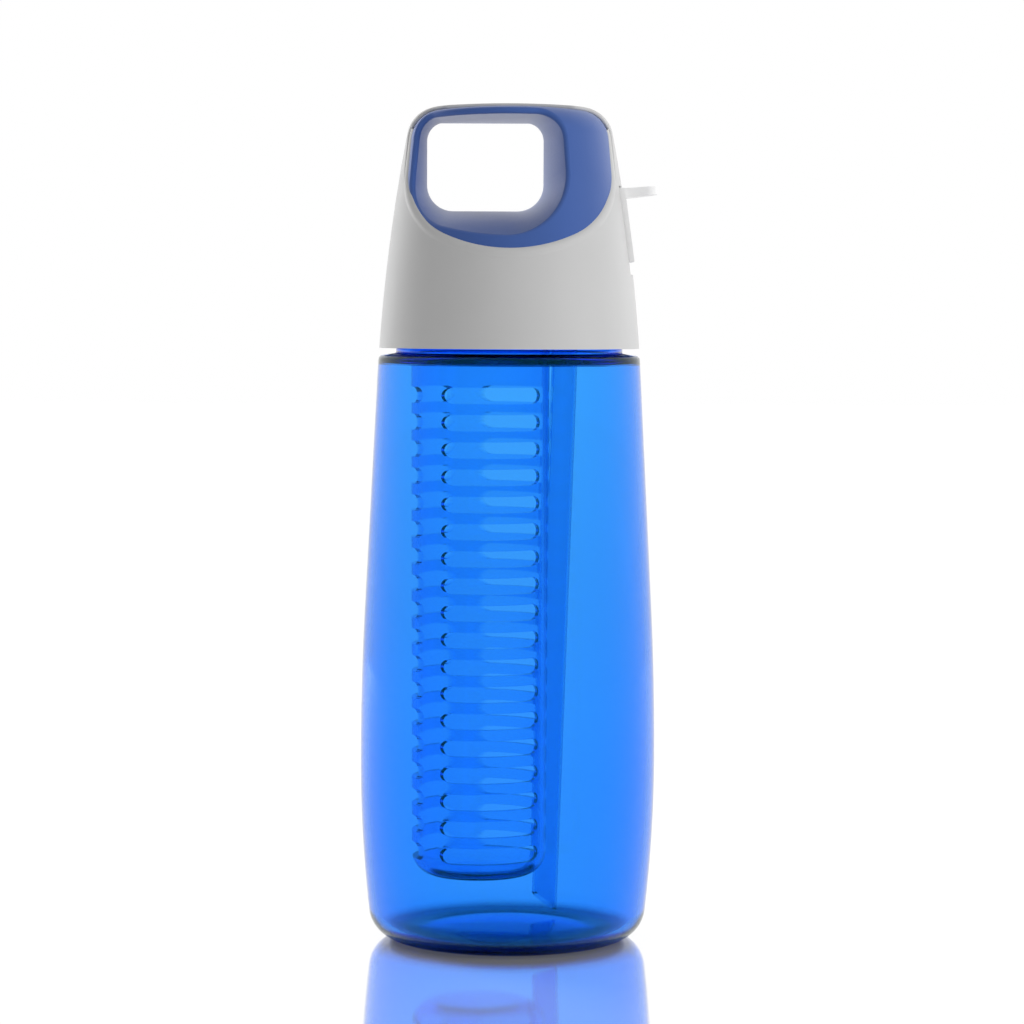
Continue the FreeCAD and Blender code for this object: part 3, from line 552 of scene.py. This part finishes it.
def white_floor():
    """White acrylic sheet: its polished face mirrors the bottle's foot and the white room."""
    material, tree = new_material("white_acrylic_polished_floor")
    place = add(tree, "ShaderNodeTexCoord").outputs["Object"]
    haze = add(tree, "ShaderNodeTexNoise", {"Vector": place, "Scale": per_metre(HAZE_SIZE), "Detail": 2.0})
    rough = add(tree, "ShaderNodeMapRange", {"Value": haze.outputs["Fac"], "To Min": 0.06, "To Max": 0.09})
    seen = add(tree, "ShaderNodeLightPath").outputs["Is Camera Ray"]
    lift = add(tree, "ShaderNodeMath", {0: seen, 1: FLOOR_LIFT}, operation="MULTIPLY")
    skin = add(tree, "ShaderNodeBsdfPrincipled", {
        "Base Color": linear("#ffffff"), "Metallic": 0.8, "Roughness": rough.outputs["Result"],
        "IOR": 1.49, "Emission Color": linear("#ffffff"), "Emission Strength": lift.outputs["Value"]})
    add(tree, "ShaderNodeOutputMaterial", {"Surface": skin.outputs["BSDF"]})
    mesh = bmesh.new()
    mesh.faces.new([mesh.verts.new((x * FLOOR_HALF_SIZE * MM, y * FLOOR_HALF_SIZE * MM, 0.0))
                    for x, y in ((-1, -1), (1, -1), (1, 1), (-1, 1))])
    dress(finished("floor", mesh), material)


def white_room():
    """White room all round for the camera, gloss and clear plastic, with a softer light on dull surfaces."""
    world = bpy.data.worlds.new("white_room")
    bpy.context.scene.world = world
    world.use_nodes = True
    tree = world.node_tree
    tree.nodes.clear()
    path = add(tree, "ShaderNodeLightPath").outputs
    strength = add(tree, "ShaderNodeMix", {"Factor": path["Is Diffuse Ray"], "A": 1.0, "B": SOFT_LIGHT})
    room = add(tree, "ShaderNodeBackground", {
        "Color": linear("#ffffff"), "Strength": strength.outputs["Result"]})
    add(tree, "ShaderNodeOutputWorld", {"Surface": room.outputs["Background"]})


def soft_lamp(name, place, width, height, power):
    """Softbox aimed at the lid, which lights dull surfaces and isn't seen."""
    lamp = bpy.data.lights.new(name, "AREA")
    lamp.shape = "RECTANGLE"
    lamp.size = width * MM
    lamp.size_y = height * MM
    lamp.energy = power
    holder = bpy.data.objects.new(name, lamp)
    bpy.context.scene.collection.objects.link(holder)
    holder.location = Vector(place) * MM
    aim = Vector((0.0, 0.0, NECK_TOP)) - Vector(place)
    holder.rotation_euler = aim.to_track_quat("-Z", "Y").to_euler()
    holder.visible_glossy = False
    holder.visible_transmission = False
    holder.visible_camera = False


def studio():
    """White floor and room, with a soft lamp at the front right and a narrow one behind at each side."""
    white_floor()
    white_room()
    soft_lamp("right_softbox", (820, -430, 490), width=600, height=900, power=5.6)
    soft_lamp("left_strip", (-640, 640, 350), width=300, height=900, power=10.0)
    soft_lamp("right_strip", (640, 640, 350), width=300, height=900, power=2.8)
    bpy.context.scene.view_settings.view_transform = "Standard"


def camera():
    """Long lens a metre in front of the bottle, just above the lid's foot and turned a touch down."""
    lens = bpy.data.cameras.new("camera")
    lens.sensor_width = SENSOR_WIDTH
    lens.lens = LENS_LENGTH
    view = bpy.data.objects.new("camera", lens)
    bpy.context.scene.collection.objects.link(view)
    view.location = Vector(CAMERA_PLACE) * MM
    aim = Vector(CAMERA_AIM) - Vector(CAMERA_PLACE)
    roll = Matrix.Rotation(math.radians(CAMERA_ROLL), 3, "Z")
    view.rotation_euler = (aim.to_track_quat("-Z", "Y").to_matrix() @ roll).to_euler()
    bpy.context.scene.camera = view


def main():
    # Blown bottle: glassy and even, with a faint ripple in what shows through it, paler towards the shoulder,
    # and navy painted shade at its foot.
    # The navy step low down is painted shade. It darkens the foot and the view through the base, where the
    # floor under it lies in shadow.
    tint_steps_with_painted_foot_shade = [
        (PUNT_HEIGHT * 0.5, "#16305f"), (BASE_THICKNESS * 1.5, "#bce2ff"), (BELLY_HEIGHT, "#c0e4ff")]
    bottle_clear = clear_plastic(
        "blue_copolyester_blow_moulded", tint="#dcf6ff", ripple_mm=14.0, ripple=0.15,
        density=540.0, deep="#30d4ff", shades=tint_steps_with_painted_foot_shade)
    # Injected basket: paler and crisper than the bottle, so the edges of its slots read as thin dark lines.
    basket_clear = clear_plastic(
        "blue_copolyester_injection_moulded", tint="#f2faff", ripple_mm=9.0, ripple=0.1,
        density=320.0, deep="#30c8ff")
    # Drawn straw: a soft blue column that is deeper at its sides, where the view runs along its wall.
    straw_clear = clear_plastic(
        "blue_polypropylene_drawn_tube", tint="#cce6fc", ripple_mm=6.0, ripple=0.1,
        density=320.0, deep="#30c8f0")
    # Lid shell: even light grey whose satin grain spreads the lamps into broad, soft gradients.
    grey_shell = moulded_plastic(
        "light_grey_polypropylene_satin_moulded", pale="#c6c6c6", dark="#c1c1c1", roughness=0.42,
        grain_mm=0.6, grain=0.2)
    # Loop core: flat mid blue that turns to pale lavender where the tunnel's wall is seen at a low angle.
    blue_core = moulded_plastic(
        "blue_polypropylene_satin_moulded", pale="#4562a0", dark="#3f5c9a", roughness=0.34,
        grain_mm=0.6, grain=0.2, gleam="#6080ff", veil=0.3)
    # Flip cover: near white, a little glossier than the shell, so that it stands out from the grey.
    white_cover = moulded_plastic(
        "white_polypropylene_satin_moulded", pale="#f2f2f2", dark="#ededed", roughness=0.4,
        grain_mm=0.6, grain=0.15)
    # Seals and mouthpiece: milky and dull, with soft edges.
    soft = silicone("clear_silicone_moulded", "#e6eaee")
    # Hinge pin: a bright point of metal at the ends of the cover's hinge.
    steel = drawn_steel("stainless_steel_drawn_wire")
    dress(spun("bottle_shell", bottle_outline()), bottle_clear, "bottle", "bottle_body")
    neck_thread(bottle_clear)
    infuser_basket(basket_clear)
    window_lip("front_window_lip", grey_shell, 1)
    window_lip("back_window_lip", grey_shell, -1)
    dress_nodes({
        "straw": straw_clear, "lid_shell": grey_shell, "loop_core": blue_core, "threaded_cap": blue_core,
        "straw_elbow": white_cover, "spout_cover": white_cover, "neck_gasket": soft, "basket_o_ring": soft,
        "mouthpiece": soft, "spout_plug": soft, "vent_valve": soft, "hinge_pin": steel})
    studio()
    camera()


main()
